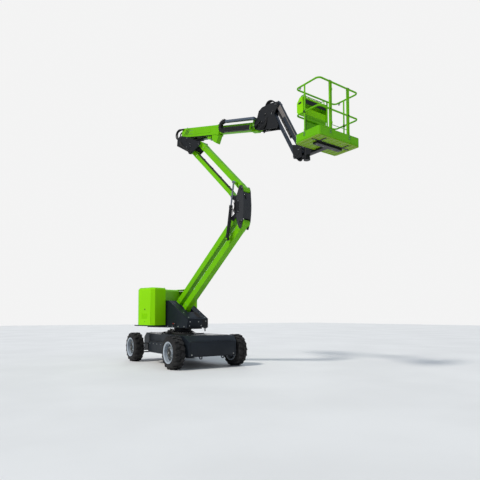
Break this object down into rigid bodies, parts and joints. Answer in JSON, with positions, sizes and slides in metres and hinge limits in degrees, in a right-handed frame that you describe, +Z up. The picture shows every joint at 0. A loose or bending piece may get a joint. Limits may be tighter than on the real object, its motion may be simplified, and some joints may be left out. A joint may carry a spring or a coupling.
{
  "type": "articulating boom lift",
  "caption": "Self-propelled articulating boom lift: wheeled chassis, slewing turret, folding riser, telescopic boom, jib and rotating work cage.",
  "frame": {"origin": "on the ground under the slewing axis", "axes": "+X along the chassis towards the driven axle, +Y to its left, +Z up; the booms are slewed 15 degrees from +X"},
  "size_m": [6.9778, 2.9438, 6.9216],
  "materials": {
    "black_rubber": "matte",
    "cast_weight": "gloss",
    "chrome_rod": "polished",
    "cowl_plastic": "gloss",
    "dark_paint": "satin",
    "green_paint": "gloss",
    "grey_paint": "satin",
    "rim_paint": "satin",
    "slate_paint": "satin",
    "tyre": "matte"
  },
  "bodies": {
    "chassis": {"chassis_frame": "slate_paint", "drive_axle": "dark_paint", "steer_axle": "dark_paint", "slew_ring": "dark_paint", "slew_motor": "grey_paint"},
    "tie_rod": {"tie_rod": "dark_paint"},
    "steer_left": {"steer_hub_left": "dark_paint"},
    "steer_right": {"steer_hub_right": "dark_paint"},
    "turret": {"turret_frame": "slate_paint", "counterweight": "cast_weight", "battery_block": "dark_paint", "tank_block": "dark_paint"},
    "hood_left": {"hood_left": "cowl_plastic"},
    "hood_right": {"hood_right": "cowl_plastic"},
    "lower_link_front": {"lower_link_front": "green_paint"},
    "lower_link_rear": {"lower_link_rear": "green_paint"},
    "knuckle": {"knuckle": "dark_paint"},
    "upper_link_top": {"upper_link_top": "green_paint"},
    "upper_link_low": {"upper_link_low": "green_paint"},
    "top_bracket": {"top_bracket": "dark_paint"},
    "riser_ram_barrel": {"riser_ram_barrel": "dark_paint"},
    "riser_ram_rod": {"riser_ram_rod": "chrome_rod"},
    "boom_outer": {"boom_outer": "green_paint", "boom_hose_loop": "black_rubber"},
    "boom_inner": {"boom_inner": "green_paint", "hose_carrier": "black_rubber", "hose_cover": "grey_paint"},
    "boom_ram_barrel": {"boom_ram_barrel": "dark_paint"},
    "boom_ram_rod": {"boom_ram_rod": "chrome_rod"},
    "head_bracket": {"head_bracket": "dark_paint", "head_hose_loop": "black_rubber"},
    "jib_upper": {"jib_upper": "slate_paint"},
    "jib_lower": {"jib_lower": "slate_paint"},
    "cage_bracket": {"cage_bracket": "dark_paint"},
    "cage": {"cage_mount": "dark_paint", "cage_floor": "green_paint", "cage_rails": "green_paint", "console_hood": "cowl_plastic", "cage_back_panel": "green_paint"},
    "cage_gate": {"cage_gate": "green_paint"},
    "wheel_front_right": {"tyre_front_right": "tyre", "rim_front_right": "rim_paint"},
    "wheel_front_left": {"tyre_front_left": "tyre", "rim_front_left": "rim_paint"},
    "wheel_rear_right": {"tyre_rear_right": "tyre", "rim_rear_right": "rim_paint"},
    "wheel_rear_left": {"tyre_rear_left": "tyre", "rim_rear_left": "rim_paint"}
  },
  "joints": [
    {"name": "wheel_front_right_roll", "type": "hinge", "parent": "chassis", "child": "wheel_front_right", "pos_m": [1.345, -0.938, 0.43], "axis": [0, 1, 0], "continuous": true},
    {"name": "wheel_front_left_roll", "type": "hinge", "parent": "chassis", "child": "wheel_front_left", "pos_m": [1.345, 0.938, 0.43], "axis": [0, 1, 0], "continuous": true},
    {"name": "wheel_rear_right_roll", "type": "hinge", "parent": "steer_right", "child": "wheel_rear_right", "pos_m": [-1.345, -0.938, 0.43], "axis": [0, 1, 0], "continuous": true},
    {"name": "wheel_rear_left_roll", "type": "hinge", "parent": "steer_left", "child": "wheel_rear_left", "pos_m": [-1.345, 0.938, 0.43], "axis": [0, 1, 0], "continuous": true},
    {"name": "steer_left", "type": "hinge", "parent": "chassis", "child": "steer_left", "pos_m": [-1.345, 0.725, 0.43], "axis": [0, 0, 1], "range_deg": [-30, 30]},
    {"name": "steer_right", "type": "hinge", "parent": "chassis", "child": "steer_right", "pos_m": [-1.345, -0.725, 0.43], "axis": [0, 0, 1], "range_deg": [-31, 31]},
    {"name": "tie_rod_shift", "type": "slide", "parent": "chassis", "child": "tie_rod", "axis": [0, 1, 0], "range_m": [-0.102, 0.102]},
    {"name": "slew", "type": "hinge", "parent": "chassis", "child": "turret", "pos_m": [0, 0, 0.9], "axis": [0, 0, 1], "continuous": true},
    {"name": "hood_left_open", "type": "hinge", "parent": "turret", "child": "hood_left", "pos_m": [-0.68464, 0.23687, 2.166], "axis": [0.9659, 0.2588, 0], "range_deg": [0, 60]},
    {"name": "hood_right_open", "type": "hinge", "parent": "turret", "child": "hood_right", "pos_m": [-0.47447, -0.54746, 2.166], "axis": [-0.9659, -0.2588, 0], "range_deg": [0, 60]},
    {"name": "riser_lift", "type": "hinge", "parent": "turret", "child": "lower_link_front", "pos_m": [0.10142, 0.02718, 1.55], "axis": [0.2588, -0.9659, 0], "range_deg": [-26.53, 27.47]},
    {"name": "riser_rear_pivot", "type": "hinge", "parent": "turret", "child": "lower_link_rear", "pos_m": [-0.18353, -0.04918, 1.69], "axis": [0.2588, -0.9659, 0], "range_deg": [-27.03, 27.97]},
    {"name": "knuckle_level", "type": "hinge", "parent": "lower_link_front", "child": "knuckle", "pos_m": [2.2939, 0.61465, 3.78288], "axis": [0.2588, -0.9659, 0], "range_deg": [-27.97, 27.03]},
    {"name": "upper_top_pivot", "type": "hinge", "parent": "knuckle", "child": "upper_link_top", "pos_m": [2.30839, 0.61853, 4.65188], "axis": [0.2588, -0.9659, 0], "range_deg": [-27.97, 27.03]},
    {"name": "upper_low_pivot", "type": "hinge", "parent": "knuckle", "child": "upper_link_low", "pos_m": [2.00895, 0.5383, 4.48988], "axis": [0.2588, -0.9659, 0], "range_deg": [-27.97, 27.03]},
    {"name": "bracket_level", "type": "hinge", "parent": "upper_link_top", "child": "top_bracket", "pos_m": [0.76258, 0.20433, 6.25614], "axis": [0.2588, -0.9659, 0], "range_deg": [-27.03, 27.97]},
    {"name": "riser_ram_swing", "type": "hinge", "parent": "lower_link_front", "child": "riser_ram_barrel", "pos_m": [1.95765, 0.29679, 3.38245], "axis": [0.2588, -0.9659, 0], "range_deg": [-22.45, 21.7]},
    {"name": "riser_ram_stroke", "type": "slide", "parent": "riser_ram_barrel", "child": "riser_ram_rod", "axis": [0.148, 0.0397, 0.9882], "range_m": [-0.25276, 0.26168]},
    {"name": "boom_luff", "type": "hinge", "parent": "top_bracket", "child": "boom_outer", "pos_m": [0.01932, 0.00518, 6.6], "axis": [-0.2588, 0.9659, 0], "range_deg": [-80, 3]},
    {"name": "boom_ram_swing", "type": "hinge", "parent": "top_bracket", "child": "boom_ram_barrel", "pos_m": [0.27046, 0.07247, 6.488], "axis": [-0.2588, 0.9659, 0], "range_deg": [-92.32, 3.94]},
    {"name": "boom_ram_stroke", "type": "slide", "parent": "boom_ram_barrel", "child": "boom_ram_rod", "axis": [0.9549, 0.2559, -0.151], "range_m": [-0.01128, 0.27524]},
    {"name": "boom_extend", "type": "slide", "parent": "boom_outer", "child": "boom_inner", "axis": [0.9469, 0.2537, -0.1977], "range_m": [-1.12, 0.1]},
    {"name": "head_level", "type": "hinge", "parent": "boom_inner", "child": "head_bracket", "pos_m": [2.83653, 0.76004, 6.19043], "axis": [-0.2588, 0.9659, 0], "range_deg": [-3.5, 80.5]},
    {"name": "jib_lift", "type": "hinge", "parent": "head_bracket", "child": "jib_upper", "pos_m": [3.38074, 0.90587, 6.575], "axis": [-0.2588, 0.9659, 0], "range_deg": [-82.7, 22.3]},
    {"name": "jib_lower_pivot", "type": "hinge", "parent": "head_bracket", "child": "jib_lower", "pos_m": [3.24068, 0.86834, 6.416], "axis": [-0.2588, 0.9659, 0], "range_deg": [-83.2, 22.8]},
    {"name": "cage_level", "type": "hinge", "parent": "jib_upper", "child": "cage_bracket", "pos_m": [4.02268, 1.07787, 5.28739], "axis": [-0.2588, 0.9659, 0], "range_deg": [-22.8, 83.2]},
    {"name": "cage_rotate", "type": "hinge", "parent": "cage_bracket", "child": "cage", "pos_m": [4.15346, 1.11292, 5.11999], "axis": [0, 0, 1], "range_deg": [-77.6, 102.4]},
    {"name": "gate_swing", "type": "hinge", "parent": "cage", "child": "cage_gate", "pos_m": [5.16505, 0.90259, 5.74999], "axis": [0, 0, 1], "range_deg": [0, 85]}
  ],
  "couplings": [
    {"joint": "steer_right", "follows": "steer_left", "ratio": 1},
    {"joint": "tie_rod_shift", "follows": "steer_left", "m_per_rad": -0.19099},
    {"joint": "riser_rear_pivot", "follows": "riser_lift", "ratio": 1},
    {"joint": "knuckle_level", "follows": "riser_lift", "ratio": -1},
    {"joint": "upper_top_pivot", "follows": "riser_lift", "ratio": -1},
    {"joint": "upper_low_pivot", "follows": "riser_lift", "ratio": -1},
    {"joint": "bracket_level", "follows": "riser_lift", "ratio": 1},
    {"joint": "riser_ram_swing", "follows": "riser_lift", "ratio": -0.79922},
    {"joint": "riser_ram_stroke", "follows": "riser_lift", "m_per_rad": 0.54371},
    {"joint": "boom_ram_swing", "follows": "boom_luff", "ratio": 1.1477},
    {"joint": "boom_ram_stroke", "follows": "boom_luff", "m_per_rad": -0.19641},
    {"joint": "head_level", "follows": "boom_luff", "ratio": -1},
    {"joint": "jib_lower_pivot", "follows": "jib_lift", "ratio": 1},
    {"joint": "cage_level", "follows": "jib_lift", "ratio": -1}
  ]
}
